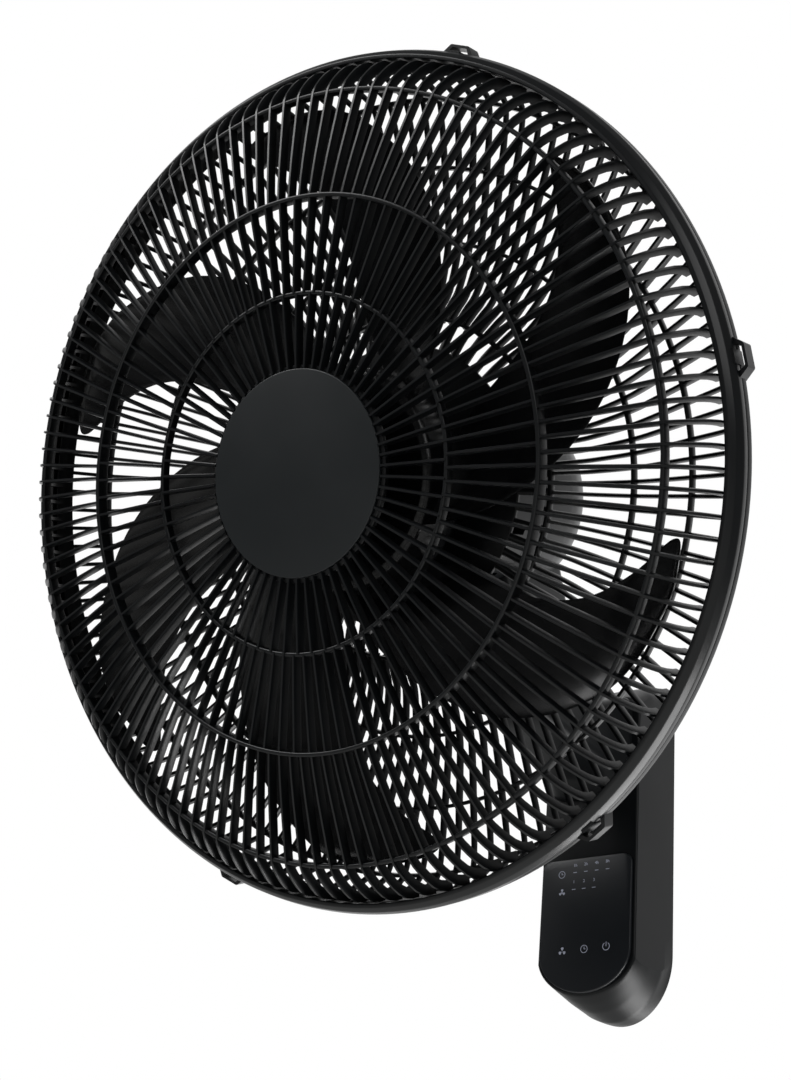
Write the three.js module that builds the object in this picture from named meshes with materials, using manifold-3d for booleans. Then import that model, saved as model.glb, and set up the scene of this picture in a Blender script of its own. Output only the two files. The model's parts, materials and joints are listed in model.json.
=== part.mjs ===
// Wall mounted fan: a slim wall unit with a control panel, an arm, a tilting neck and a panning head.
// Millimetres. Wall plane y = 0, the fan stands out towards -Y, +Z is up, X runs across.
import * as THREE from "three";
import { mergeVertices } from "three/addons/utils/BufferGeometryUtils.js";
import Module from "manifold-3d";

const wasm = await Module();
wasm.setup();

// ---- driving dimensions -------------------------------------------------------------------------
const GAP = 0.3; // clearance left between pieces that touch
const REST_TILT = 25; // head tilted down at rest, degrees
const FRONT_RING_Y = -344; // centre of the third guard ring, measured from the wall
const FRONT_RING_Z = 87.5;

// Head frame: origin at the centre of the third guard ring, +Y towards the motor, +Z up.
// Motor frame: the same directions, its origin further back; the motor, drive and neck are drawn in it.
const MOTOR_BACK = 15.5;
const PAN_Y = 140; // pan axis, along the motor frame's Z
const TILT_Z = -108; // tilt axis, along X
const SHAFT_R = 4;
const SHAFT_Y = [16, 171.5]; // in the head frame

// guard
const BADGE_R = 53.2;
const RING_R = [91.6, 141.3, 197.6]; // the three front rings
const RING_FRONT = [-8.5, -9.1, 0]; // Y of their front edges
const RING_WIDTH = 2.2;
const RING_DEPTH = [5, 7.2, 4];
const RIM_R = 224.5;
const RIM_FRONT_Y = 20.5;
const RIM_SPLIT_Y = 31.6;
const RIM_REAR_Y = 43.5;
const RIB_WIDTH = 1.7;
const RIB_DEPTH = 3;
const FRONT_RIBS = [18, 24, 36]; // ribs from the centre, from ring 1 and from ring 2
const REAR_RIBS = 24;
const FRONT_PHASE = 2.5; // angle of the first rib, degrees
const REAR_PHASE = 2.5;
const REAR_RING = [[209, 63.4], [176.5, 78.4], [138.5, 92.5], [95.4, 83.5]]; // radius, front Y
const REAR_RING_DEPTH = 4.4;
// front edge of a rear rib, from the inner ring over the deepest part of the cage to the rim
const REAR_LINE = [
  [95.4, 84.5],
  [105, 89],
  [114.8, 93],
  [138.5, 92.8],
  [158, 86.3],
  [176.5, 78.7],
  [195, 71.5],
  [209, 63.7],
  [215.3, 53],
  [217.5, 42],
];
const REAR_PLATE_R = [28.3, 79]; // flat middle of the rear guard
const REAR_PLATE_Y = 80;
const REAR_PLATE_T = 2.4;
const REAR_SPOKES = 12; // from the plate to the inner ring
const LATCHES = 6; // loops on the rear rim, each holding a hook of the front rim
const LATCH_ANGLE = -0.4; // angle of the first, degrees
const LOOP = [[-10, 223], [10, 223], [5.6, 229.4], [-5.6, 229.4]]; // across, radius
const POCKET = [[-8, 222], [8, 222], [4.6, 227.9], [-4.6, 227.9]];
const LOOP_Y = [30.2, 38];

// impeller
const HUB_R = 60;
const HUB_Y = [24, 56];
const BLADES = 6;
const BLADE_T = 1.8;
const BLADE_PHASE = 0; // where the first blade stands at rest, degrees
// radius, angle of the edge nearer the front, angle of the edge nearer the motor, Y of each edge
const BLADE_ROWS = [
  [57, -38.5, 2, 27.3, 47],
  [80, -28.7, 12.6, 27, 44.5],
  [105, -19.6, 16.6, 26.8, 41],
  [130, -11.2, 19.6, 26.8, 38],
  [155, -2.4, 24.6, 26.2, 35.2],
  [175, 6.2, 31, 25.2, 32.2],
  [188, 13, 36, 23.8, 30],
  [194, 17, 37.6, 22.8, 28.8],
  [198, 22, 37.2, 22.4, 27.4],
  [200, 27.5, 34, 22.6, 25.2],
];

// motor
const MOTOR_R = 60;
const COVER_WALL = 2.4;
const COVER_FRONT_Y = 67.3;
const COVER_SPLIT_Y = 120;
const DOME = [[60, 166], [56, 183], [44, 196], [0, 203]]; // outer line of the rear cover's end
const CHIN = { half: 29, end: 190, foot: -80 }; // box under the rear cover for the swing drive
const STATOR_R = 46;
const STATOR_Y = [96, 124];
const ROTOR_R = 26;
const WINDING_R = [28, 41];
const WINDING_Y = [80, 139]; // their outer ends
const BEARING_R = 8.7;
const BEARING_Y = [[64, 76], [141, 151]];

// swing drive
const CRANK = [4, 168]; // X and Y of the crank's axis
const CRANK_R = 12;
const POST_X = 16; // post on the neck, beside the pan axis
const PIN_R = 5; // pan pin
const LINK_Z = [-72.6, -69.6];

// wall unit
const UNIT_HALF = 32.6;
const UNIT_WALL = 2.3;
const PANEL_HALF = 30.5;
const PANEL_Z = [-99.9, -19.1];
const PANEL_Y = [-50.4, -48.4];
const FRONT_FACE_Y = -48.1;

// ---- colours ------------------------------------------------------------------------------------
const colour = {
  blackPlastic: 0x17181a,
  gloss: 0x0c0d10,
  panel: 0x2a2c31,
  steel: 0x9a9da1,
  castAluminium: 0x8b8d8f,
  copper: 0xa35a2a,
  lamination: 0x5c5f63,
  board: 0x1d5a36,
  darkRubber: 0x121212,
  component: 0x2f4f86,
};

// ---- small tools --------------------------------------------------------------------------------
const rad = THREE.MathUtils.degToRad;

// A closed three.js geometry as a manifold solid that faces out.
function solid(geometry) {
  const loose = geometry.index ? geometry.toNonIndexed() : geometry;
  const bare = new THREE.BufferGeometry();
  bare.setAttribute("position", loose.getAttribute("position"));
  const merged = mergeVertices(bare, 1e-4);
  const at = merged.index.array;
  const kept = [];
  for (let i = 0; i < at.length; i += 3) {
    const [a, b, c] = [at[i], at[i + 1], at[i + 2]];
    if (a !== b && b !== c && a !== c) kept.push(a, b, c);
  }
  const build = (tri) =>
    new wasm.Manifold(
      new wasm.Mesh({
        numProp: 3,
        vertProperties: merged.attributes.position.array,
        triVerts: new Uint32Array(tri),
      }),
    );
  const made = build(kept);
  if (made.volume() > 0) return made;
  for (let i = 0; i < kept.length; i += 3) [kept[i], kept[i + 1]] = [kept[i + 1], kept[i]];
  return build(kept);
}

function join(...solids) {
  return solids.flat().reduce((a, b) => a.add(b));
}

function cut(body, ...tools) {
  return tools.flat().reduce((a, b) => a.subtract(b), body);
}

function box([x0, x1], [y0, y1], [z0, z1]) {
  const g = new THREE.BoxGeometry(x1 - x0, y1 - y0, z1 - z0);
  g.translate((x0 + x1) / 2, (y0 + y1) / 2, (z0 + z1) / 2);
  return solid(g);
}

// A cylinder along an axis ("x", "y" or "z") from a to b, centred on p in the other two directions.
function rod(axis, r, a, b, p = [0, 0], segments = 20, endR = r) {
  const g = new THREE.CylinderGeometry(endR, r, b - a, segments);
  if (axis === "x") g.rotateZ(-Math.PI / 2).translate((a + b) / 2, p[0], p[1]);
  if (axis === "y") g.translate(p[0], (a + b) / 2, p[1]);
  if (axis === "z") g.rotateX(Math.PI / 2).translate(p[0], p[1], (a + b) / 2);
  return solid(g);
}

// A solid of revolution about Y from a closed profile of [radius, y] points.
function turned(profile, segments = 36) {
  const points = profile.map(([r, y]) => new THREE.Vector2(r, y));
  const onAxis = profile[0][0] === 0 && profile[profile.length - 1][0] === 0;
  if (!onAxis) points.push(points[0].clone());
  return solid(new THREE.LatheGeometry(points, segments));
}

// A flat-sided ring about Y.
function washer(inner, outer, y0, y1, segments = 36) {
  return turned([[inner, y0], [outer, y0], [outer, y1], [inner, y1]], segments);
}

// A plate from an outline of [radius, y] points, of even thickness, turned about Y by an angle.
function radialPlate(outline, thickness, degrees) {
  const shape = new THREE.Shape(outline.map(([r, y]) => new THREE.Vector2(r, y)));
  const g = new THREE.ExtrudeGeometry(shape, { depth: thickness, bevelEnabled: false });
  g.translate(0, 0, -thickness / 2).rotateY(-rad(degrees));
  return solid(g);
}

// A bar along Y from an outline of [across, radius] points, drawn at the top and turned to an angle.
function bar(outline, [y0, y1], degrees) {
  const shape = new THREE.Shape(outline.map(([x, r]) => new THREE.Vector2(x, r)));
  const g = new THREE.ExtrudeGeometry(shape, { depth: y1 - y0, bevelEnabled: false });
  g.rotateX(Math.PI / 2).translate(0, y1, 0);
  return solid(g).rotate([0, 90 - degrees, 0]);
}

// A rib whose front edge follows a line of [radius, y] points.
function rib(front, depth, width, degrees) {
  const back = front.map(([r, y], i) => {
    const [r0, y0] = front[Math.max(i - 1, 0)];
    const [r1, y1] = front[Math.min(i + 1, front.length - 1)];
    const long = Math.hypot(r1 - r0, y1 - y0);
    return [r - ((y1 - y0) / long) * depth, y + ((r1 - r0) / long) * depth];
  });
  return radialPlate([...front, ...back.reverse()], width, degrees);
}

// A skin through rows of points, closed at both ends by a fan: sections are convex outlines.
function loft(sections) {
  const position = [];
  const index = [];
  const n = sections[0].length;
  sections.forEach((s) => s.forEach((p) => position.push(...p)));
  for (let i = 0; i < sections.length - 1; i++)
    for (let j = 0; j < n; j++) {
      const [a, b] = [i * n + j, i * n + ((j + 1) % n)];
      index.push(a, b, a + n, b, b + n, a + n);
    }
  const last = (sections.length - 1) * n;
  for (let j = 1; j < n - 1; j++) index.push(0, j + 1, j, last, last + j, last + j + 1);
  const g = new THREE.BufferGeometry();
  g.setAttribute("position", new THREE.Float32BufferAttribute(position, 3));
  g.setIndex(index);
  return solid(g);
}

// ---- tree ---------------------------------------------------------------------------------------
const group = new THREE.Group();
group.name = "wall_mounted_fan";
const head = new THREE.Group();
head.name = "head_frame";
head.rotation.x = rad(REST_TILT);
head.position.set(0, FRONT_RING_Y, FRONT_RING_Z);
group.add(head);
const motor = new THREE.Group();
motor.name = "motor_frame";
motor.position.y = MOTOR_BACK;
head.add(motor);

function add(parent, name, body, hex, roughness = 0.5, metalness = 0) {
  const m = body.asOriginal().simplify(0.002).getMesh();
  const g = new THREE.BufferGeometry();
  const position = new Float32Array(m.numVert * 3);
  for (let i = 0; i < m.numVert; i++)
    position.set(m.vertProperties.subarray(i * m.numProp, i * m.numProp + 3), i * 3);
  g.setAttribute("position", new THREE.BufferAttribute(position, 3));
  g.setIndex(new THREE.BufferAttribute(m.triVerts, 1));
  g.computeVertexNormals();
  const mesh = new THREE.Mesh(
    g,
    new THREE.MeshStandardMaterial({ color: hex, roughness, metalness }),
  );
  mesh.name = name;
  parent.add(mesh);
}

// The world position of the tilt axis, as [y, z].
function tiltAxis() {
  const [c, s] = [Math.cos(rad(REST_TILT)), Math.sin(rad(REST_TILT))];
  const y = MOTOR_BACK + PAN_Y;
  return [FRONT_RING_Y + y * c - TILT_Z * s, FRONT_RING_Z + y * s + TILT_Z * c];
}

// ---- guard --------------------------------------------------------------------------------------
function frontRing(i) {
  const y = RING_FRONT[i];
  return washer(RING_R[i] - RING_WIDTH / 2, RING_R[i] + RING_WIDTH / 2, y, y + RING_DEPTH[i], 36);
}

function frontGrille() {
  const discY = [-6.7, -3.5];
  const disc = rod("y", BADGE_R + 0.8, ...discY, [0, 0], 36);
  const rim = turned(
    [
      [218, RIM_FRONT_Y],
      [220, RIM_FRONT_Y],
      [222.8, RIM_FRONT_Y + 2.7],
      [RIM_R, RIM_FRONT_Y + 7],
      [RIM_R, RIM_SPLIT_Y],
      [218.6, RIM_SPLIT_Y],
    ],
    72,
  );
  const [r1, r2, r3] = RING_R;
  const [y1, y2, y3] = RING_FRONT.map((y) => y + 0.5); // ribs stand just behind the rings' front edges
  const lines = [
    [[BADGE_R, discY[0]], [r1, y1]],
    [[r1, y1], [r2, y2]],
    [[r2, y2], [r3, y3], [212.5, 9.3], [220.4, RIM_FRONT_Y + 2.4]],
  ];
  const ribs = lines.flatMap((line, zone) =>
    Array.from({ length: FRONT_RIBS[zone] }, (_, k) =>
      rib(line, RIB_DEPTH, RIB_WIDTH, FRONT_PHASE + (k * 360) / FRONT_RIBS[zone]),
    ),
  );
  const notches = latchAngles().map((a) => bar([[-8, 222.3], [8, 222.3], [8, 230], [-8, 230]], [28.6, 33], a));
  const hooks = latchAngles().flatMap((a) => [
    bar([[-3.6, 220], [3.6, 220], [3.6, 222.6], [-3.6, 222.6]], [27, RIM_SPLIT_Y], a),
    bar([[-3.6, 222.4], [3.6, 222.4], [3.6, 225], [-3.6, 225]], [28, 36], a),
    bar([[-3.6, 224.8], [3.6, 224.8], [3.6, 227], [-3.6, 227]], [33.8, 36], a),
  ]);
  return join(cut(join(disc, rim, frontRing(0), frontRing(1), frontRing(2), ribs), notches), hooks);
}

function latchAngles() {
  return Array.from({ length: LATCHES }, (_, k) => LATCH_ANGLE + (k * 360) / LATCHES);
}

function rearGrille() {
  const rim = turned(
    [
      [218.6, RIM_SPLIT_Y + 0.4],
      [RIM_R, RIM_SPLIT_Y + 0.4],
      [RIM_R, RIM_REAR_Y - 7],
      [222.5, RIM_REAR_Y - 4],
      [220.4, RIM_REAR_Y],
      [217, RIM_REAR_Y],
      [218.2, RIM_REAR_Y - 5.5],
    ],
    72,
  );
  const plate = washer(...REAR_PLATE_R, REAR_PLATE_Y, REAR_PLATE_Y + REAR_PLATE_T, 36);
  const rings = REAR_RING.map(([r, y]) => washer(r - 1, r + 1, y, y + REAR_RING_DEPTH, 36));
  const ribs = Array.from({ length: REAR_RIBS }, (_, k) =>
    rib(REAR_LINE, 2.6, RIB_WIDTH, REAR_PHASE + (k * 360) / REAR_RIBS),
  );
  const spokeLine = [[REAR_PLATE_R[1] - 1, REAR_PLATE_Y], REAR_LINE[0]];
  const spokes = Array.from({ length: REAR_SPOKES }, (_, k) =>
    rib(spokeLine, REAR_PLATE_T, 4, REAR_PHASE + 2.5 + (k * 360) / REAR_SPOKES),
  );
  const overFront = rod("y", RIM_R + GAP, 20, RIM_SPLIT_Y + 0.4, [0, 0], 72);
  const loops = latchAngles().map((a) => cut(bar(LOOP, LOOP_Y, a), overFront));
  const pockets = latchAngles().map((a) => bar(POCKET, [LOOP_Y[0] - 1, LOOP_Y[1] + 2], a));
  return cut(join(rim, plate, rings, ribs, spokes, loops), pockets);
}

// ---- impeller -----------------------------------------------------------------------------------
function blade(phase) {
  const chord = 3;
  const camber = 3;
  const side = (shift) =>
    BLADE_ROWS.map(([r, a0, a1, y0, y1]) =>
      Array.from({ length: chord + 1 }, (_, i) => {
        const s = i / chord;
        const a = rad(phase + a0 + (a1 - a0) * s);
        const y = y0 + (y1 - y0) * s + camber * 4 * s * (1 - s) + shift;
        return [r * Math.cos(a), y, r * Math.sin(a)];
      }),
    );
  const front = side(-BLADE_T / 2);
  const back = side(BLADE_T / 2);
  return loft(front.map((row, i) => [...row, ...back[i].slice().reverse()]));
}

function fanBlade() {
  const [y0, y1] = HUB_Y;
  const shell = turned(
    [[0, y0], [HUB_R - 3, y0], [HUB_R, y0 + 3], [HUB_R, y1], [HUB_R - 2.6, y1], [HUB_R - 2.6, y0 + 4],
      [HUB_R - 4, y0 + 3], [0, y0 + 3]],
    36,
  );
  const boss = rod("y", 12, y0 + 1, 59, [0, 0], 16);
  const bore = rod("y", SHAFT_R + GAP, y0 - 5, 65, [0, 0], 16);
  const slot = box([-13, 13], [54.6, 60], [-1.9, 1.9]);
  const core = rod("y", HUB_R - 2.6, y0 + 3, 90, [0, 0], 36);
  const blades = Array.from({ length: BLADES }, (_, k) => cut(blade(BLADE_PHASE + (k * 360) / BLADES), core));
  return cut(join(shell, boss, blades), bore, slot);
}

function impeller() {
  add(head, "fan_blade", fanBlade(), colour.blackPlastic, 0.3);
  const nutBore = rod("y", SHAFT_R + GAP, 15.5, 30, [0, 0], 16);
  const nut = turned([[0, 13], [8, 13.6], [14, 16.5], [16.5, 20], [16.5, 23.6], [0, 23.6]], 24);
  add(head, "blade_nut", cut(nut, nutBore), colour.blackPlastic, 0.4);
  const crossHole = rod("x", 1.9, -8, 8, [56.6, 0], 12);
  add(head, "motor_shaft", cut(rod("y", SHAFT_R, ...SHAFT_Y, [0, 0], 20), crossHole), colour.steel, 0.3, 1);
  add(head, "drive_pin", rod("x", 1.5, -10, 10, [56.6, 0], 12), colour.steel, 0.3, 1);
}

// ---- motor --------------------------------------------------------------------------------------
function motorCovers() {
  const inner = MOTOR_R - COVER_WALL;
  const f = COVER_FRONT_Y;
  const front = turned(
    [[20.5, f], [MOTOR_R - 4, f], [MOTOR_R, f + 4.7], [MOTOR_R, COVER_SPLIT_Y], [inner, COVER_SPLIT_Y],
      [inner, f + 5.7], [MOTOR_R - 5, f + 2.5], [20.5, f + 2.5]],
    36,
  );
  const louvre = (k) =>
    box([-2, 2], [82, 112], [MOTOR_R - 6, MOTOR_R + 4]).rotate([0, 5 + (k * 360) / 12, 0]);
  add(motor, "motor_front_cover", cut(front, Array.from({ length: 12 }, (_, k) => louvre(k))),
    colour.blackPlastic, 0.4);

  const y0 = COVER_SPLIT_Y + GAP;
  const domeInside = [[inner, 165], [53.8, 182], [42.6, 193.9], [0, 200.5]];
  const dome = turned([[inner, y0], [MOTOR_R, y0], ...DOME, ...domeInside.toReversed()], 36);
  const { half, end, foot } = CHIN;
  const chinOuter = box([-half, half], [y0, end], [foot, -40]);
  const chinInner = box([COVER_WALL - half, half - COVER_WALL], [y0 - 3, end - COVER_WALL], [foot + COVER_WALL, -36]);
  const below = rod("y", inner, y0 - 4, 166, [0, 0], 36);
  const taper = turned([[0, 164], ...domeInside], 36);
  const opening = rod("z", 20, -90, -70, [0, PAN_Y], 24);
  const vent = (k) => box([-2.2, 2.2], [185, 210], [16, 40]).rotate([0, 5 + (k * 360) / 12, 0]);
  const rear = cut(
    join(dome, cut(chinOuter, below, taper)),
    chinInner,
    opening,
    Array.from({ length: 12 }, (_, k) => vent(k)),
  );
  add(motor, "motor_rear_cover", rear, colour.blackPlastic, 0.4);
}

function motorInside() {
  const [s0, s1] = STATOR_Y;
  const slots = Array.from({ length: 12 }, (_, k) =>
    box([-2.4, 2.4], [s0 - 1, s1 + 1], [29.5, 40]).rotate([0, 5 + (k * 360) / 12, 0]),
  );
  add(motor, "stator_core", cut(washer(ROTOR_R + 0.6, STATOR_R, s0, s1, 36), slots),
    colour.lamination, 0.6, 1);
  add(motor, "rotor_core", washer(SHAFT_R + GAP, ROTOR_R, s0, s1, 24), colour.lamination, 0.6, 1);
  add(motor, "front_winding", washer(...WINDING_R, WINDING_Y[0], s0 - GAP, 24), colour.copper, 0.5, 1);
  add(motor, "rear_winding", washer(...WINDING_R, s1 + GAP, WINDING_Y[1], 24), colour.copper, 0.5, 1);
  add(motor, "front_bearing", washer(SHAFT_R + GAP, BEARING_R, ...BEARING_Y[0], 16), colour.steel, 0.4, 1);
  add(motor, "rear_bearing", washer(SHAFT_R + GAP, BEARING_R, ...BEARING_Y[1], 16), colour.steel, 0.4, 1);

  const front = turned(
    [[9, 62], [20, 62], [20, 74], [STATOR_R, 74], [STATOR_R, s0 - GAP], [43, s0 - GAP], [43, 77.5],
      [9, 77.5]],
    28,
  );
  add(motor, "front_bracket", front, colour.castAluminium, 0.6, 1);

  const shell = turned(
    [[9, 142], [43, 142], [43, s1 + GAP], [STATOR_R, s1 + GAP], [STATOR_R, 145.5], [13, 145.5],
      [13, 152], [9, 152]],
    28,
  );
  const boss = cut(rod("z", 9.5, -68.5, -44, [0, PAN_Y], 20), rod("y", 43, 120, 142.2, [0, 0], 28));
  const lug = box([-12, 20], [PAN_Y, 184], [-47.6, -44.4]);
  const bore = rod("z", PIN_R + GAP, -80, -49.5, [0, PAN_Y], 20);
  add(motor, "rear_bracket", cut(join(shell, boss, lug), bore), colour.castAluminium, 0.6, 1);
}

function swingDrive() {
  const [cx, cy] = CRANK;
  const can = join(
    rod("z", 15.5, -60, -48, [cx, cy], 28),
    rod("z", 3.4, -62.7, -59, [cx, cy], 16),
  );
  add(motor, "swing_motor", can, colour.steel, 0.4, 1);
  const crank = join(
    rod("z", 4.4, -67, -63, [cx, cy], 18),
    box([cx, cx + CRANK_R], [cy - 3.2, cy + 3.2], [-67, -63]),
    rod("z", 3.2, -67, -63, [cx + CRANK_R, cy], 14),
    rod("z", 2, -74.5, -66, [cx + CRANK_R, cy], 14),
  );
  add(motor, "swing_crank", crank, colour.steel, 0.4, 1);
  // The link's far eye is wide enough for the post to stand in it at every pan angle.
  const [z0, z1] = LINK_Z;
  const x = cx + CRANK_R;
  const link = join(
    rod("z", 4.4, z0, z1, [x, cy], 18),
    box([x - 2.4, x + 2.4], [PAN_Y + 4.5, cy - 2], [z0, z1]),
    rod("z", 6, z0, z1, [x, PAN_Y], 18),
  );
  const eye = rod("z", 4, z0 - 1, z1 + 1, [x, PAN_Y], 14);
  const hole = rod("z", 2.3, z0 - 1, z1 + 1, [x, cy], 14);
  add(motor, "swing_link", cut(link, eye, hole), colour.steel, 0.4, 1);
}

// ---- neck ---------------------------------------------------------------------------------------
function neck() {
  const cup = rod("z", 21, -94.3, -80.8, [0, PAN_Y], 30);
  const stem = rod("z", 9, -82, LINK_Z[0] - 0.9, [0, PAN_Y], 20);
  const barrel = rod("x", 11, -12, 12, [PAN_Y, TILT_Z], 24);
  const web = box([-12, 12], [PAN_Y - 11, PAN_Y + 11], [TILT_Z, -93]);
  const post = rod("z", 2, -82, LINK_Z[1] + 1.2, [POST_X, PAN_Y], 14);
  const pinHole = rod("z", PIN_R + GAP, -91, -60, [0, PAN_Y], 20);
  const boltHole = rod("x", 4.4, -20, 20, [PAN_Y, TILT_Z], 20);
  add(motor, "tilt_neck", cut(join(cup, stem, barrel, web, post), pinHole, boltHole), colour.blackPlastic, 0.4);
  const collar = rod("z", 6.5, LINK_Z[0] - 0.6, LINK_Z[1] + 0.8, [0, PAN_Y], 20);
  add(motor, "pan_pin", join(rod("z", PIN_R, -90.6, -50, [0, PAN_Y], 20), collar), colour.steel, 0.3, 1);
  const [ty, tz] = tiltAxis();
  const bolt = join(rod("x", 4, -26, 21.5, [ty, tz], 16), rod("x", 7, 19.5, 24, [ty, tz], 6));
  add(group, "tilt_bolt", bolt, colour.steel, 0.4, 1);
  const nut = cut(rod("x", 7, -25, -19.4, [ty, tz], 6), rod("x", 4.3, -30, -10, [ty, tz], 16));
  add(group, "tilt_nut", nut, colour.steel, 0.4, 1);
}

function wallArm() {
  const [ty, tz] = tiltAxis();
  const section = (y, half, z0, z1, corner) => {
    const points = [];
    const corners = [[half, z1, 0], [-half, z1, 90], [-half, z0, 180], [half, z0, 270]];
    corners.forEach(([x, z, a]) => {
      for (let i = 0; i <= 2; i++) {
        const t = rad(a + i * 45);
        const cx = x - Math.sign(x) * corner;
        const cz = z === z1 ? z - corner : z + corner;
        points.push([cx + corner * Math.cos(t), y, cz + corner * Math.sin(t)]);
      }
    });
    return points;
  };
  const arm = loft([
    section(FRONT_FACE_Y - GAP, 28, 20, 84, 8),
    section(-52, 27.5, 21, 83, 8),
    section(-66, 22, 28, 76, 8),
    section(-110, 19, 34, 62, 7),
    section(ty + 12, 19, tz - 11, tz + 9, 5),
  ]);
  const ears = join(
    rod("x", 11, -19, 19, [ty, tz], 24),
    box([-19, 19], [ty, ty + 14], [tz - 11, tz + 9]),
  );
  const room = join(
    rod("x", 12.2, -12.4, 12.4, [ty, tz], 24),
    box([-12.4, 12.4], [ty - 20, ty + 11.8], [tz, tz + 20]),
  );
  const hole = rod("x", 4.3, -30, 30, [ty, tz], 20);
  const screwHoles = [-1, 1].flatMap((sx) =>
    [-1, 1].map((sz) => rod("y", 2.2, -62, -40, [sx * 15, 52 + sz * 20], 12)),
  );
  add(group, "wall_arm", cut(join(arm, ears), room, hole, screwHoles), colour.gloss, 0.3);
}

// ---- wall unit ----------------------------------------------------------------------------------
// Outline of the wall unit at a depth y, drawn in by an inset: straight sides, a domed foot, a softer top.
function unitOutline(y, half, foot, footRise, top, topRise, power, inset = 0) {
  const points = [];
  const steps = 6;
  const [a, f, t] = [half - inset, foot + inset, top - inset];
  for (let i = 0; i <= steps; i++) {
    const q = (Math.PI / 2) * (i / steps);
    const x = a * Math.sin(q) ** (2 / power);
    points.push([x, y, f + footRise - footRise * Math.cos(q) ** (2 / power)]);
  }
  for (let i = 0; i <= steps; i++) {
    const q = (Math.PI / 2) * (1 - i / steps);
    const x = a * Math.sin(q) ** (2 / 3.2);
    points.push([x, y, t - topRise + topRise * Math.cos(q) ** (2 / 3.2)]);
  }
  const left = points.slice(1, -1).reverse().map(([x, py, z]) => [-x, py, z]);
  return [...points, ...left];
}

// depth, half width, foot, height of the foot's curve, top, height of the top's curve, squareness
const UNIT_SECTIONS = [
  [FRONT_FACE_Y, 31.4, -99.8, 22.5, 84, 12, 2.3],
  [-46.8, UNIT_HALF, -101, 23.5, 86, 13, 2.3],
  [-30, UNIT_HALF, -106.5, 30, 98, 16, 2.4],
  [-14, UNIT_HALF, -109, 36, 106, 20, 2.3],
  [-0.6, UNIT_HALF, -108, 40, 109.5, 24, 2.1],
];

// The outline's numbers at a depth between two of its sections.
function unitAt(y) {
  const next = UNIT_SECTIONS.findIndex((s) => s[0] >= y);
  const [a, b] = [UNIT_SECTIONS[next - 1], UNIT_SECTIONS[next]];
  const part = (y - a[0]) / (b[0] - a[0]);
  return a.map((v, i) => v + (b[i] - v) * part);
}

function frontHousing() {
  const outer = loft(UNIT_SECTIONS.map((s) => unitOutline(...s)));
  const inside = UNIT_SECTIONS.map((s) => unitOutline(...s, UNIT_WALL));
  inside[0] = unitOutline(FRONT_FACE_Y + UNIT_WALL, 30.3, -100.3, 22.5, 85, 12, 2.3, UNIT_WALL);
  inside[1] = unitOutline(-43, UNIT_HALF, -102, 24, 88.5, 13, 2.3, UNIT_WALL);
  inside[4] = unitOutline(0.5, UNIT_HALF, -108, 40, 109.5, 24, 2.1, UNIT_WALL);
  const bosses = bossPlaces().map(([x, z]) => rod("y", 3.8, FRONT_FACE_Y + 1, -5.9, [x, z], 14));
  const pilot = bossPlaces().map(([x, z]) => rod("y", 1.5, -24, 0, [x, z], 12));
  const armHoles = [-1, 1].flatMap((sx) =>
    [-1, 1].map((sz) => rod("y", 2.2, -60, -40, [sx * 15, 52 + sz * 20], 12)),
  );
  const armWire = rod("y", 5, -60, -40, [0, 52], 16);
  const boardWindow = box([-24, 24], [-52, -40], [-30, -26]);
  const notches = [[9, 4], [-20, 3]].map(([x, w]) => box([x - w / 2, x + w / 2], [-3.5, 2], [-112, -98]));
  return cut(join(cut(outer, loft(inside)), bosses), pilot, armHoles, armWire, boardWindow, notches);
}

function bossPlaces() {
  return [[-23, 72], [23, 72], [-23, -64], [23, -64]];
}

function wallUnit() {
  add(group, "front_housing", frontHousing(), colour.gloss, 0.25);

  const cover = loft([-5.6, -2.8].map((y) => unitOutline(...unitAt(y), UNIT_WALL + 0.7)));
  const hookSlots = [60, -56].map((z) => box([-10, 10], [-8, 0], [z - 10, z + 4]));
  const screwHoles = bossPlaces().map(([x, z]) => rod("y", 1.9, -8, 0, [x, z], 12));
  const glandHole = rod("y", 5.3, -8, 0, [0, -92], 18);
  add(group, "back_cover", cut(cover, hookSlots, screwHoles, glandHole), colour.blackPlastic, 0.6);
  bossPlaces().forEach(([x, z], i) => {
    const screw = join(rod("y", 1.2, -20, -2, [x, z], 8), rod("y", 2.9, -2.5, -0.9, [x, z], 12));
    add(group, "cover_screw_" + (i + 1), screw, colour.steel, 0.4, 1);
  });

  const plate = box([-17, 17], [-2.2, 0], [-78, 84]);
  const keyholes = [74, -68].map((z) =>
    join(rod("y", 4.5, -5, 2, [0, z - 4], 18), box([-2.3, 2.3], [-5, 2], [z - 4, z + 4]),
      rod("y", 2.3, -5, 2, [0, z + 4], 14)),
  );
  const hooks = [60, -56].map((z) =>
    join(box([-8, 8], [-9.4, -1], [z - 6, z - 3.6]), box([-8, 8], [-9.4, -7.4], [z - 6, z + 2.5])),
  );
  add(group, "wall_plate", join(cut(plate, keyholes), hooks), colour.steel, 0.5, 1);

  const ring = washer(3.2, 8, -8.6, -5.9, 14);
  const sleeve = washer(3.2, 5, -6.2, -0.9, 14);
  add(group, "cord_gland", join(ring, sleeve).translate([0, 0, -92]), colour.darkRubber, 0.8);

  controlPanel();
  insideParts();
  [-1, 1].forEach((sx, i) =>
    [-1, 1].forEach((sz, j) => {
      const [x, z] = [sx * 15, 52 + sz * 20];
      const screw = join(rod("y", 1.9, -58, -45, [x, z], 8), rod("y", 3.6, -45.5, -43.2, [x, z], 12));
      add(group, "arm_screw_" + (1 + i * 2 + j), screw, colour.steel, 0.4, 1);
    }),
  );
}

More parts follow.
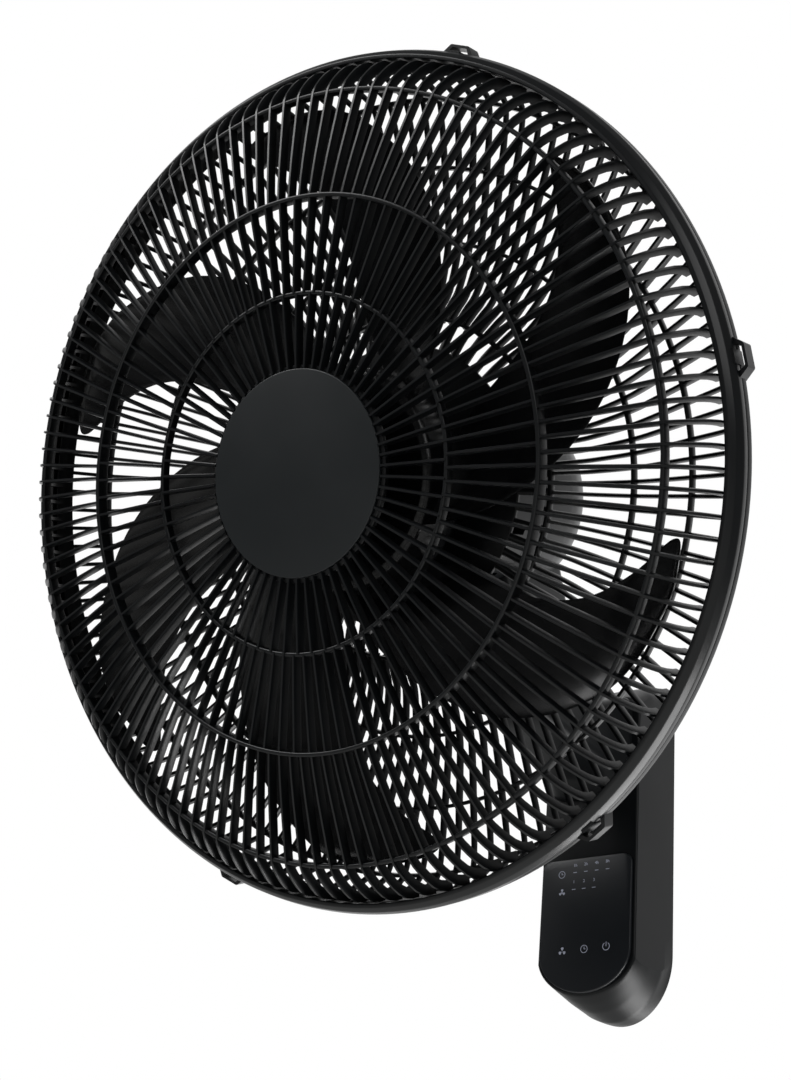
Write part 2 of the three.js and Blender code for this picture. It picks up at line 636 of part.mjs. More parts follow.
function controlPanel() {
  const outline = (y, inset) => {
    const points = [];
    const steps = 10;
    const half = PANEL_HALF - inset;
    const [z0, z1] = [PANEL_Z[0] + inset, PANEL_Z[1] - inset];
    for (let i = 0; i <= steps; i++) {
      const q = (Math.PI / 2) * (i / steps);
      points.push([half * Math.sin(q), y, z0 + 24.5 - 24.5 * Math.cos(q)]);
    }
    for (let i = 0; i <= 4; i++) {
      const q = (Math.PI / 2) * (i / 4);
      points.push([half - 6 + 6 * Math.cos(q), y, z1 - 6 + 6 * Math.sin(q)]);
    }
    const left = points.slice(1).reverse().map(([x, py, z]) => [-x, py, z]);
    return [...points, ...left];
  };
  const [y0, y1] = PANEL_Y;
  const lens = loft([outline(y0, 0.7), outline(y0 + 0.7, 0), outline(y1, 0)]);
  add(group, "control_panel", lens, colour.panel, 0.45);
  add(group, "touch_board", box([-18.6, 18.6], [-45.2, -43.6], [-88, -24]), colour.board, 0.6);
  add(group, "ir_receiver", box([-3.5, 3.5], [-43.3, -38], [-34, -27]), colour.gloss, 0.3);
  add(group, "buzzer", rod("y", 6, -43.3, -35.5, [12, -40], 20), colour.gloss, 0.5);
  add(group, "ribbon_connector", box([-18, -4], [-43.3, -37.5], [-52, -46]), colour.blackPlastic, 0.6);
}

function insideParts() {
  add(group, "power_board", box([-18.6, 18.6], [-14, -12.4], [-84, -8]), colour.board, 0.6);
  add(group, "run_capacitor", box([-17, 17], [-32, -14.3], [-30, -12]), colour.component, 0.5);
  add(group, "transformer", box([-14, 14], [-34, -14.3], [-64, -38]), colour.lamination, 0.6);
  add(group, "relay_1", box([-17, -3], [-28, -14.3], [-81, -69]), colour.component, 0.5);
  add(group, "relay_2", box([3, 17], [-28, -14.3], [-81, -69]), colour.component, 0.5);
}

// ---- head ---------------------------------------------------------------------------------------
function guard() {
  add(head, "front_grille", frontGrille(), colour.blackPlastic, 0.35);
  add(head, "badge", turned([[0, -9], [BADGE_R - 0.8, -9], [BADGE_R, -8.2], [BADGE_R, -7], [0, -7]], 36),
    colour.panel, 0.45);
  add(head, "rear_grille", rearGrille(), colour.blackPlastic, 0.4);
  add(head, "grille_nut", washer(20.4, 34, REAR_PLATE_Y - 4.8, REAR_PLATE_Y - GAP, 24), colour.blackPlastic, 0.5);
}

guard();
impeller();
motorCovers();
motorInside();
swingDrive();
neck();
wallArm();
wallUnit();

export default group;
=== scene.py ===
import json
import math

import bmesh
import bpy
import numpy as np
from mathutils import Matrix


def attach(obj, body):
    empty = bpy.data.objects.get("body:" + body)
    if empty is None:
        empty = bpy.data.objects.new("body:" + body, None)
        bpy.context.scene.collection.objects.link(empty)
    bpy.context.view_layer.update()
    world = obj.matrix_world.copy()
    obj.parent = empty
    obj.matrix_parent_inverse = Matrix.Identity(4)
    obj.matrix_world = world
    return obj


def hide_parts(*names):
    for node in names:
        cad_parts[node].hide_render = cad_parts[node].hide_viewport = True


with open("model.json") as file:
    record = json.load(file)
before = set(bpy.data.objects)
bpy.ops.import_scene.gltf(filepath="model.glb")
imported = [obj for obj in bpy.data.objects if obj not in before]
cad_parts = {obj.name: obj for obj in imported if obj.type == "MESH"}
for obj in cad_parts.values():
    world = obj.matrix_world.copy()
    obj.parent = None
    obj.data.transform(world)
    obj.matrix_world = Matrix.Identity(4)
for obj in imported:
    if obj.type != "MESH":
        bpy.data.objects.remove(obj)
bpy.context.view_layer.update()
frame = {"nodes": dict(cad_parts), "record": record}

# Sizes are in millimetres. "Head frame" means the round cage's own frame: origin near the centre of its
# third ring, +Y towards the motor, +Z up, turned down by the rest tilt. "Motor frame" means the same
# directions with the origin further back; the motor, its drive and the neck are drawn in it.

# ---- where the head sits --------------------------------------------------------------------------
REST_TILT = math.radians(25)
HEAD_Y, HEAD_Z = -344.0, 87.5
MOTOR_BACK = 15.5  # from the head frame's origin back to the motor frame's
PAN_Y, TILT_Z = 140.0, -108.0  # motor frame: Y of both joints' axes, Z of the tilt axis

# ---- cage -----------------------------------------------------------------------------------------
BADGE_R, BADGE_FRONT, BADGE_BACK, BADGE_CROWN = 53.2, -8.7, -7.0, 0.3
SEAT_R, SEAT_HOLE, SEAT_FRONT, SEAT_BACK = 55.5, 12.0, -6.7, -3.5  # disc behind the badge
RINGS = [(91.6, -9.0, 5.0), (141.3, -9.1, 7.2), (197.4, 1.7, 5.6)]  # radius, front Y, depth
RING_W = 2.2
RIM_R, RIM_IN, RIM_STEP = 224.5, 218.6, 222.4  # outside, inside, and where the front rim's back edge steps
RIM_FRONT, RIM_SPLIT, RIM_REAR = 20.5, 31.6, 43.5
RIB_W, RIB_D = 2.0, 5.2
FRONT_RIBS = [(65, 0.5), (90, 3.1), (130, 0.45)]  # count and first angle of the ribs in each zone
# front edges of the ribs in the three zones, as (radius, Y)
FRONT_LINES = [
    [(53.6, -8.8), (72, -9.3), (91.6, -9.4)],
    [(91.6, -9.4), (113, -9.1), (128, -8.8), (141.3, -8.6)],
    [(141.3, -8.6), (152, -7.2), (164, -5.2), (176, -2.9), (182, -1.7), (188, -0.6), (194, 0.6), (199, 1.7),
     (203, 3.9), (207, 7.2), (211, 11.1), (214.5, 15.5), (217, 20.8), (217.9, 26), (217.8, 31)],
]
REAR_RIBS, REAR_FIRST, REAR_W, REAR_D = 120, 2.24, 2.2, 4.5
REAR_THIN = [(176, 1.0), (209, 0.6)]  # radius, share of the rear ribs' depth
REAR_RINGS = [(210, 64), (176.5, 78.4), (138.3, 92.8), (95.4, 83.5)]  # radius, front Y
REAR_RING_W, REAR_RING_D = 2.0, 4.4
# front edge of a rear rib, from the inner ring over the deepest part of the cage to the rim
REAR_LINE = [
    (95.4, 84.5), (105, 89), (114.8, 93), (138.5, 92.8), (158, 86.3), (176.5, 78.7), (195, 71.7), (209, 64.6),
    (213.4, 54.5), (217.2, 42.5),
]
PLATE_Y, PLATE_T, PLATE_IN, PLATE_OUT = 80.0, 2.4, 28.3, 79.0  # flat middle of the rear cage
SPOKES, SPOKE_W, SPOKE_D = 60, 4.4, 2.4
NUT_IN, NUT_OUT, NUT_T, NUT_GAP, NUT_FLUTES = 20.5, 34.0, 4.5, 0.3, 16  # ring nut that holds the rear cage
LATCHES, LATCH_ANGLE = 6, -0.4
# outlines of a latch drawn at the rim's top, as (across, radius): the loop's two arches and the hook
LOOP_OUTER = [(-10, 223.6), (-5.6, 228.9), (5.6, 228.9), (10, 223.6)]
LOOP_INNER = [(7.5, 222.4), (4.6, 227.5), (-4.6, 227.5), (-7.5, 222.4)]
HOOK = [(-3.6, 221), (3.6, 221), (3.6, 225), (-3.6, 225)]
HOOK_Y, LOOP_Y = (26, 36), (29.8, 38)

# ---- impeller -------------------------------------------------------------------------------------
HUB_R, HUB_FRONT, HUB_BACK, HUB_WALL, HUB_FACE = 60.0, 24.0, 56.0, 2.4, 3.0
BOSS_R, BOSS_BACK, BORE_R = 12.0, 59.0, 4.3
BLADES, BLADE_T, BLADE_BOW = 6, 2.0, 3.0
BLADE_THIN, BLADE_ROOT, BLADE_SPAN = 0.35, 56.0, 141.0  # the blade thins by that share from root to tip
# radius, angle of the edge nearer the front, angle of the edge nearer the motor, Y of each edge
BLADE_ROWS = [
    (57, -38.5, 2, 27, 47), (80, -28.7, 12.6, 27, 44.5), (105, -19.6, 16.6, 26.8, 41),
    (130, -11.2, 19.6, 26.8, 38), (155, -2.4, 24.6, 26.2, 35.2), (175, 6.2, 31, 25.2, 32.2),
    (188, 13, 36, 23.8, 30), (194, 17, 37.6, 22.8, 28.8), (198, 22, 37.2, 22.4, 27.4), (200, 27.5, 34, 22.6, 25.2),
]

# ---- motor ----------------------------------------------------------------------------------------
MOTOR_R, COVER_WALL, COVER_SPLIT, COVER_GAP = 60.0, 2.4, 120.0, 0.3
COVER_FRONT, VENT_FRONT, VENT_BACK = 67.3, 82.0, 112.0
VENTS, VENT_HALF_BAR, REAR_VENT_EDGE = 12, 2.2, 2.0  # slots, and the angles that their bars keep
DOME = [(MOTOR_R, 158), (58.6, 170), (54.6, 182), (44.5, 193.6), (36, 198.2)]
CAP, CAP_SPOKE = [(17, 202.4), (9, 203), (0, 203)], [(37, 197.7), (27, 200.9), (16, 202.5)]
CASE_HALF, CASE_BACK, CASE_TOP, CASE_FOOT, CASE_WALL = 29.0, 190.0, -36.0, -74.0, 2.4  # chin below the motor

# ---- neck and arm ---------------------------------------------------------------------------------
PIN_R, STEM_R, POST_X, POST_R = 5.3, 9.0, 16.0, 2.0
EAR_IN, EAR_OUT, EAR_R, EAR_EDGE = 12.5, 19.0, 11.0, 0.7
# the arm's section: Y, half width, bottom, top
ARM_ROWS = [(-52, 27.5, 21, 83), (-58, 25, 24, 80), (-66, 22.4, 28, 76), (-86, 20, 31.5, 69), (-110, 19.2, 34, 62),
            (-136, 19, 36, 59.4)]
ARM_CORNERS = [9, 8.6, 8.2, 8, 7.6, 7, 6, 5]

# ---- wall unit ------------------------------------------------------------------------------------
UNIT_WALL, UNIT_EDGE, FACE_Y = 2.3, 1.5, -48.1
# depth, half width, foot, crease height, end angle of the foot's curve, top, height of the top's curve
UNIT_ROWS = [
    (-48.1, 32.4, -100.8, -80.5, 84, 85.2, 12), (-46.8, 32.6, -101.4, -81.5, 78, 86, 13),
    (-40, 32.6, -103.8, -83, 68, 91, 14.5), (-30, 32.6, -106.5, -83, 66, 98, 16),
    (-14, 32.6, -108.9, -80.5, 72, 106, 20), (-6, 32.6, -108.6, -74, 80, 108.4, 22),
    (-0.6, 32.6, -108, -68, 90, 109.4, 24),
]
PANEL_HALF, PANEL_BOTTOM, PANEL_TOP, PANEL_ARC, PANEL_CORNER = 30.5, -99.9, -19.1, 24.5, 6.0
PANEL_FRONT, PANEL_BACK = -50.4, -48.2
MARK_Y = (PANEL_FRONT - 0.08, PANEL_FRONT + 0.2)  # marks stand just proud of the lens
MARK_LINE, FIGURE_HEIGHT = 0.35, 2.6
GLAND_Z = -92.0


SAME_POINT = 2e-6  # metres, below which two points are one


# ==== shapes =======================================================================================
def from_head(p):
    """Head-frame points turned about X by the rest tilt and moved out from the wall."""
    c, s = math.cos(REST_TILT), math.sin(REST_TILT)
    x, y, z = np.moveaxis(np.asarray(p, float), -1, 0)
    return np.stack([x, HEAD_Y + y * c - z * s, HEAD_Z + y * s + z * c], -1)


def from_motor(p):
    """Motor-frame points, placed."""
    return from_head(np.asarray(p, float) + (0, MOTOR_BACK, 0))


def from_wall(p):
    """Points already given in the wall's frame."""
    return np.asarray(p, float)


def skin(points, round_u=False, round_v=True):
    """Quads between neighbouring points of a grid (copies, u, v), wrapping where a side is round.

    Where v is round and u isn't, both ends of u are closed by a flat face.
    """
    p = np.asarray(points, float)
    p = p[None] if p.ndim == 3 else p
    copies, nu, nv = p.shape[:3]
    number = np.arange(copies * nu * nv).reshape(copies, nu, nv)
    wide = np.concatenate([number, number[:, :1]], 1) if round_u else number
    wide = np.concatenate([wide, wide[:, :, :1]], 2) if round_v else wide
    corners = [wide[:, :-1, :-1], wide[:, 1:, :-1], wide[:, 1:, 1:], wide[:, :-1, 1:]]
    faces = [np.stack(corners, -1).reshape(-1, 4)]
    if round_v and not round_u:
        faces += [number[:, 0], number[:, -1, ::-1]]
    return p.reshape(-1, 3), faces


def together(*shapes):
    """Several shapes as one, with their points numbered on."""
    points, faces, start = [], [], 0
    for p, f in shapes:
        points.append(p)
        faces += [np.asarray(a) + start for a in f]
        start += len(p)
    return np.concatenate(points), faces


def rounded(outline, radius, steps=4):
    """A closed outline whose corners are arcs that touch both neighbouring sides."""
    p = np.asarray(outline, float)
    r = np.broadcast_to(np.asarray(radius, float), len(p))[:, None]
    a, b = np.roll(p, 1, 0) - p, np.roll(p, -1, 0) - p
    a /= np.linalg.norm(a, axis=1, keepdims=True)
    b /= np.linalg.norm(b, axis=1, keepdims=True)
    half = np.arccos(np.clip((a * b).sum(1, keepdims=True), -1, 1)) / 2
    middle = (a + b) / np.linalg.norm(a + b, axis=1, keepdims=True)
    centre = p + middle * r / np.sin(half)
    first, last = p + a * r / np.tan(half) - centre, p + b * r / np.tan(half) - centre
    turn = (math.pi - 2 * half)[:, None]
    t = np.linspace(0, 1, steps + 1)[None, :, None]
    arc = (np.sin((1 - t) * turn) * first[:, None] + np.sin(t * turn) * last[:, None]) / np.sin(turn)
    return (centre[:, None] + arc).reshape(-1, 2)


def turned(profile, axis="y", centre=(0, 0), segments=96, first=0.0, last=360.0):
    """A closed profile of (radius, height) points carried round an axis; a part turn has flat ends."""
    p = np.asarray(profile, float)
    whole = last - first >= 360
    a = np.radians(np.linspace(first, last, segments + (0 if whole else 1), endpoint=not whole))[:, None]
    u, v, h = p[:, 0] * np.cos(a), p[:, 0] * np.sin(a), np.broadcast_to(p[:, 1], (len(a), len(p)))
    c, d = centre
    order = {"x": (h, u + c, v + d), "y": (u + c, h, v + d), "z": (u + c, v + d, h)}[axis]
    return skin(np.stack(order, -1), round_u=whole)


def bar_across(outline, y0, y1, degrees, edge=0.0):
    """An outline of (across, radius) points drawn at the rim, carried along Y with its ends drawn in."""
    p = np.asarray(outline, float)
    middle = p.mean(0)
    levels = [(y0, 1), (y0 + edge, 0), (y1 - edge, 0), (y1, 1)] if edge else [(y0, 0), (y1, 0)]
    rows = []
    for y, drawn in levels:
        q = middle + (p - middle) * (1 - drawn * edge / np.abs(p - middle).max())
        rows.append(np.column_stack([q[:, 0], np.full(len(q), y), q[:, 1]]))
    a = math.radians(90 - degrees)
    rows = np.array(rows)
    x = rows[..., 0] * math.cos(a) + rows[..., 2] * math.sin(a)
    z = rows[..., 2] * math.cos(a) - rows[..., 0] * math.sin(a)
    return skin(np.stack([x, rows[..., 1], z], -1))


# across (shares of the width) and down (shares of the depth): a narrow nose, full sides, a flat back
RIB_SECTION = np.array([(-0.5, 0.3), (-0.28, 0), (0.28, 0), (0.5, 0.3), (0.46, 1), (-0.46, 1)])


def ribs(path, width, depth, count, first):
    """The rib section carried along a path of (radius, y) points, square to it, and copied round Y.

    The depth is one number, or one for each point of the path.
    """
    p = np.asarray(path, float)
    along = np.gradient(p, axis=0)
    along /= np.linalg.norm(along, axis=1, keepdims=True)
    back = np.stack([-along[:, 1], along[:, 0]], -1)
    deep = np.broadcast_to(depth, len(p))[:, None, None]
    flat = p[:, None] + back[:, None] * RIB_SECTION[:, 1:] * deep
    side = RIB_SECTION[:, 0] * width
    a = np.radians(first + np.arange(count) * 360 / count)[:, None, None]
    x = flat[..., 0] * np.cos(a) - side * np.sin(a)
    z = flat[..., 0] * np.sin(a) + side * np.cos(a)
    y = np.broadcast_to(flat[..., 1], x.shape)
    return skin(np.stack([x, y, z], -1))


def curve_through(rows, count):
    """Evenly spread points of a Catmull-Rom curve that passes through every row."""
    p = np.asarray(rows, float)
    p = np.vstack([2 * p[0] - p[1], p, 2 * p[-1] - p[-2]])
    t = np.linspace(0, len(rows) - 1 - 1e-9, count)
    i = t.astype(int)
    f = (t - i)[:, None]
    a, b, c, d = p[i], p[i + 1], p[i + 2], p[i + 3]
    return 0.5 * (2 * b + (c - a) * f + (2 * a - 5 * b + 4 * c - d) * f**2 + (3 * b - 3 * c + d - a) * f**3)


def make(name, shapes, material, body, stands_for=(), place=from_head, sharp=38, merge=True):
    """One finished piece: its mesh in metres, faces out, smooth but for sharp edges, riding on a body."""
    points, faces = together(*shapes)
    mesh = bpy.data.meshes.new(name)
    mesh.vertices.add(len(points))
    mesh.vertices.foreach_set("co", (place(points) / 1000).astype(np.float32).ravel())
    corners = np.concatenate([f.ravel() for f in faces])
    sizes = np.concatenate([np.full(len(f), f.shape[1]) for f in faces])
    mesh.loops.add(len(corners))
    mesh.loops.foreach_set("vertex_index", corners.astype(np.int32))
    mesh.polygons.add(len(sizes))
    mesh.polygons.foreach_set("loop_start", (np.cumsum(sizes) - sizes).astype(np.int32))
    mesh.update(calc_edges=True)
    bm = bmesh.new()
    bm.from_mesh(mesh)
    if merge:
        bmesh.ops.remove_doubles(bm, verts=bm.verts, dist=SAME_POINT)
    bmesh.ops.recalc_face_normals(bm, faces=bm.faces)
    bm.to_mesh(mesh)
    bm.free()
    mesh.polygons.foreach_set("use_smooth", np.ones(len(mesh.polygons), bool))
    mesh.set_sharp_from_angle(angle=math.radians(sharp))
    mesh.materials.append(material)
    piece = bpy.data.objects.new(name, mesh)
    bpy.context.scene.collection.objects.link(piece)
    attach(piece, body)
    if stands_for:
        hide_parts(*stands_for)
    return piece


# ==== materials ====================================================================================
def linear(hex_colour):
    """An sRGB hex colour as the linear colour that shaders work in."""
    v = np.array([int(hex_colour[i:i + 2], 16) for i in (1, 3, 5)]) / 255
    v = np.where(v <= 0.04045, v / 12.92, ((v + 0.055) / 1.055) ** 2.4)
    return (*v.tolist(), 1.0)


def node(tree, kind, settings=None, **inputs):
    """Adds a node, sets its properties and its inputs, by name or as i and a number; a socket is linked."""
    made = tree.nodes.new(kind)
    for key, value in (settings or {}).items():
        setattr(made, key, value)
    for key, value in inputs.items():
        numbered = key[0] == "i" and key[1:].isdigit()
        socket = made.inputs[int(key[1:])] if numbered else made.inputs[key.replace("_", " ")]
        if isinstance(value, bpy.types.NodeSocket):
            tree.links.new(value, socket)
        else:
            socket.default_value = value
    return made


PATCH_MM = 60  # size of the patches that differ in gloss and colour


def finish_of(name, colour, roughness, metallic=0.0, grain_mm=0.5, grain_depth=0.02, spread=0.25, varied=0.12,
              **shader):
    """A surface with fine grain in its relief, and patches that differ a little in gloss and in colour."""
    material = bpy.data.materials.new(name)
    material.use_nodes = True
    tree = material.node_tree
    tree.nodes.clear()
    where = node(tree, "ShaderNodeTexCoord").outputs["Object"]
    grain = node(tree, "ShaderNodeTexNoise", Vector=where, Scale=1000 / grain_mm, Detail=2.0, Roughness=0.6)
    patches = node(tree, "ShaderNodeTexNoise", Vector=where, Scale=1000 / PATCH_MM, Detail=3.0, Roughness=0.55)
    gloss = node(tree, "ShaderNodeMapRange", Value=patches.outputs["Fac"], To_Min=roughness * (1 - spread),
                 To_Max=roughness * (1 + spread))
    dark = tuple(c * (1 - varied) for c in linear(colour)[:3]) + (1.0,)
    light = tuple(min(c * (1 + varied), 1.0) for c in linear(colour)[:3]) + (1.0,)
    tone = node(tree, "ShaderNodeMix", {"data_type": "RGBA"}, i0=patches.outputs["Fac"], i6=dark, i7=light)
    relief = node(tree, "ShaderNodeBump", Strength=0.5, Distance=grain_depth / 1000,
                  Height=grain.outputs["Fac"])
    surface = node(tree, "ShaderNodeBsdfPrincipled", Base_Color=tone.outputs[2],
                   Roughness=gloss.outputs["Result"], Metallic=metallic, Normal=relief.outputs["Normal"],
                   **shader)
    node(tree, "ShaderNodeOutputMaterial", Surface=surface.outputs["BSDF"])
    return material


# Moulded ABS from a lightly spark-eroded tool: near black with a cool tint, satin, soft long highlights.
satin_abs = finish_of("black_abs_satin_moulded", "#0d0f11", 0.3, grain_mm=0.8, grain_depth=0.015, IOR=1.5,
                      Specular_IOR_Level=0.4)
# The same plastic from a polished tool: the blades and the hub show longer, brighter highlights.
bright_abs = finish_of("black_abs_polished_moulded", "#0a0b0d", 0.2, grain_mm=3, grain_depth=0.006, IOR=1.5)
# The wall unit's housing: fine texture, an even dark grey in soft light.
housing_abs = finish_of("black_abs_fine_texture", "#0f1113", 0.38, grain_mm=0.6, grain_depth=0.012, IOR=1.5,
                        Specular_IOR_Level=0.22)
# Lacquered disc in the middle of the guard: dark teal grey, very even.
lacquer = finish_of("dark_grey_lacquer", "#171b1d", 0.36, grain_mm=0.4, grain_depth=0.006, IOR=1.48)
# Hard-coated acrylic sheet over the touch board: dark grey, satin.
acrylic = finish_of("smoked_acrylic_satin", "#1b1e22", 0.32, grain_mm=0.5, grain_depth=0.004, IOR=1.49)
# Pale cool-white ink marks on the acrylic; the faint emission is a painted glow that lifts them, not a light of
# their own.
marks = finish_of("pale_ink_marks_painted_glow", "#8e93a2", 0.5, grain_mm=0.5, grain_depth=0.0,
                  Emission_Color=linear("#c9cde0"), Emission_Strength=0.12)
steel = finish_of("zinc_plated_steel", "#b9bcc0", 0.34, 1.0, grain_mm=0.3, grain_depth=0.01)
aluminium = finish_of("die_cast_aluminium", "#a9abad", 0.55, 1.0, grain_mm=1.2, grain_depth=0.05)
lamination = finish_of("electrical_steel_stack", "#6e7276", 0.5, 1.0, grain_mm=0.5, grain_depth=0.05)
copper = finish_of("enamelled_copper_winding", "#a8602f", 0.38, 1.0, grain_mm=0.6, grain_depth=0.12)
board = finish_of("green_solder_mask", "#1e5c38", 0.4, grain_mm=1.0, grain_depth=0.01)
blue_case = finish_of("blue_moulded_epoxy", "#2c4f8c", 0.35, grain_mm=0.6, grain_depth=0.02)
rubber = finish_of("black_rubber_matt", "#101010", 0.75, grain_mm=0.4, grain_depth=0.03)

SLOT_FINISH = {
    "black_plastic": satin_abs, "gloss_black": housing_abs, "panel_grey": acrylic, "steel": steel,
    "cast_aluminium": aluminium, "lamination_steel": lamination, "copper_winding": copper, "circuit_board": board,
    "component_blue": blue_case, "black_rubber": rubber,
}


def dress_cad_nodes():
    """Every node of the frame gets the finish of its material slot."""
    for part in frame["record"]["subparts"]:
        mesh = frame["nodes"][part["node"]].data
        mesh.materials.clear()
        mesh.materials.append(SLOT_FINISH[part["material_slot"]])


# ==== cage =========================================================================================
def front_guard():
    shapes = [ribs(path, RIB_W, RIB_D, *count) for path, count in zip(FRONT_LINES, FRONT_RIBS)]
    make("front_guard_ribs", shapes, satin_abs, "head", ["front_grille"], sharp=60, merge=False)

    half = RING_W / 2
    rings = [turned(rounded([(r - half, y), (r + half, y), (r + half, y + deep), (r - half, y + deep)],
                            [0.7, 0.7, 0.3, 0.3], 3), segments=180) for r, y, deep in RINGS]
    seat = turned(rounded([(SEAT_HOLE, SEAT_FRONT), (SEAT_R, SEAT_FRONT), (SEAT_R, SEAT_BACK),
                           (SEAT_HOLE, SEAT_BACK)], 0.6), segments=128)
    rim = turned(rounded([(218, RIM_FRONT), (220.2, RIM_FRONT), (222.8, RIM_FRONT + 2.7), (RIM_R, RIM_FRONT + 7),
                          (RIM_R, RIM_SPLIT), (RIM_STEP, RIM_SPLIT), (RIM_STEP, RIM_SPLIT - 3),
                          (RIM_IN, RIM_SPLIT - 3)], [0.6, 1.0, 3, 4, 0.4, 0.3, 0.3, 0.3]), segments=240)
    hooks = [bar_across(rounded(HOOK, 0.4, 2), *HOOK_Y, a) for a in latch_angles()]
    make("front_guard_rings", [*rings, seat, rim, *hooks], satin_abs, "head", ["front_grille"])


def latch_angles():
    return LATCH_ANGLE + np.arange(LATCHES) * 360 / LATCHES


def badge():
    """A thin lacquered disc with a soft edge and a very slight crown."""
    profile = rounded([(0, BADGE_FRONT - BADGE_CROWN), (BADGE_R, BADGE_FRONT), (BADGE_R, BADGE_BACK),
                       (0, BADGE_BACK)], [0, 0.55, 0.2, 0], 5)
    make("badge_disc", [turned(profile, segments=160)], lacquer, "head", ["badge"])


def rear_guard():
    spoke = [(PLATE_OUT - 1.5, PLATE_Y), (87, PLATE_Y + 1.6), (95.4, 84)]
    line = curve_through(REAR_LINE, 40)
    depth = REAR_D * np.interp(line[:, 0], *zip(*REAR_THIN))
    shapes = [ribs(line, REAR_W, depth, REAR_RIBS, REAR_FIRST), ribs(spoke, SPOKE_W, SPOKE_D, SPOKES, REAR_FIRST)]
    make("rear_guard_ribs", shapes, satin_abs, "head", ["rear_grille"], sharp=60, merge=False)

    rim = turned(rounded([(RIM_IN, RIM_SPLIT + 0.4), (RIM_R, RIM_SPLIT + 0.4), (RIM_R, RIM_REAR - 7),
                          (222.5, RIM_REAR - 4), (220.4, RIM_REAR), (217, RIM_REAR), (218.2, RIM_REAR - 5.5)],
                         [0.4, 0.5, 2, 2, 0.8, 0.6, 0.5]), segments=240)
    half, deep = REAR_RING_W / 2, REAR_RING_D
    rings = [turned(rounded([(r - half, y), (r + half, y), (r + half, y + deep), (r - half, y + deep)], 0.4, 2),
                    segments=180) for r, y in REAR_RINGS]
    y0, y1 = PLATE_Y, PLATE_Y + PLATE_T
    plate = turned(rounded([(PLATE_IN, y0), (PLATE_OUT, y0), (PLATE_OUT, y1), (PLATE_IN, y1)], 0.6, 3),
                   segments=128)
    loops = [latch_loop(a) for a in latch_angles()]
    make("rear_guard_frame", [rim, *rings, plate, *loops], satin_abs, "head", ["rear_grille"])


def latch_loop(degrees):
    """An arched strap on the rear rim: a closed band between an outer and an inner arch, open along Y."""
    outline = rounded(LOOP_OUTER + LOOP_INNER, [0.2, 1.4, 1.4, 0.2, 0.2, 0.9, 0.9, 0.2], 3)
    return bar_across(outline, *LOOP_Y, degrees)


# ==== impeller =====================================================================================
def one_blade(degrees, rows=44, chord=18):
    """A bowed sheet between the two edge curves, with thin rounded edges, closed round its section."""
    r, a0, a1, y0, y1 = curve_through(BLADE_ROWS, rows).T[..., None]
    s = (1 - np.cos(np.linspace(0, math.pi, chord))) / 2
    angle = np.radians(degrees + a0 + (a1 - a0) * s)
    middle = y0 + (y1 - y0) * s + BLADE_BOW * 4 * s * (1 - s)
    thick = BLADE_T * np.sqrt(np.clip(1 - (2 * s - 1) ** 6, 0.02, 1))
    thick = thick * (1 - BLADE_THIN * (r - BLADE_ROOT) / BLADE_SPAN)
    x, z = r * np.cos(angle), r * np.sin(angle)
    front = np.stack([x, middle - thick / 2, z], -1)
    back = np.stack([x, middle + thick / 2, z], -1)[:, ::-1]
    return skin(np.concatenate([front, back], 1))


def impeller():
    blades = [one_blade(k * 360 / BLADES) for k in range(BLADES)]
    inner, floor = HUB_R - HUB_WALL, HUB_FRONT + HUB_FACE
    cup = rounded([(BORE_R, HUB_FRONT), (HUB_R, HUB_FRONT), (HUB_R, HUB_BACK), (inner, HUB_BACK), (inner, floor),
                   (BOSS_R, floor), (BOSS_R, BOSS_BACK), (BORE_R, BOSS_BACK)],
                  [0.5, 5, 0.8, 0.4, 2.4, 0.8, 0.5, 0.3], 6)
    make("impeller", [*blades, turned(cup, segments=128)], bright_abs, "rotor", ["fan_blade"])
    nut = fluted([(BORE_R, 13.4), (10, 13.4), (16.3, 17.5), (16.3, 23.6), (BORE_R, 23.6)], 12, 0.05)
    make("impeller_nut", [nut], satin_abs, "rotor", ["blade_nut"])


def fluted(profile, flutes, depth):
    """A turned profile whose outer half is drawn in by a cosine that repeats round the axis."""
    p = rounded(profile, 0.8, 3)
    a = np.linspace(0, 2 * math.pi, flutes * 12, endpoint=False)[:, None]
    share = np.clip((p[:, 0] - p[:, 0].mean()) / np.ptp(p[:, 0]), 0, 1) * 2
    r = p[:, 0] * (1 - depth * share * (0.5 - 0.5 * np.cos(flutes * a)) ** 2)
    return skin(np.stack([r * np.cos(a), np.broadcast_to(p[:, 1], r.shape), r * np.sin(a)], -1), round_u=True)


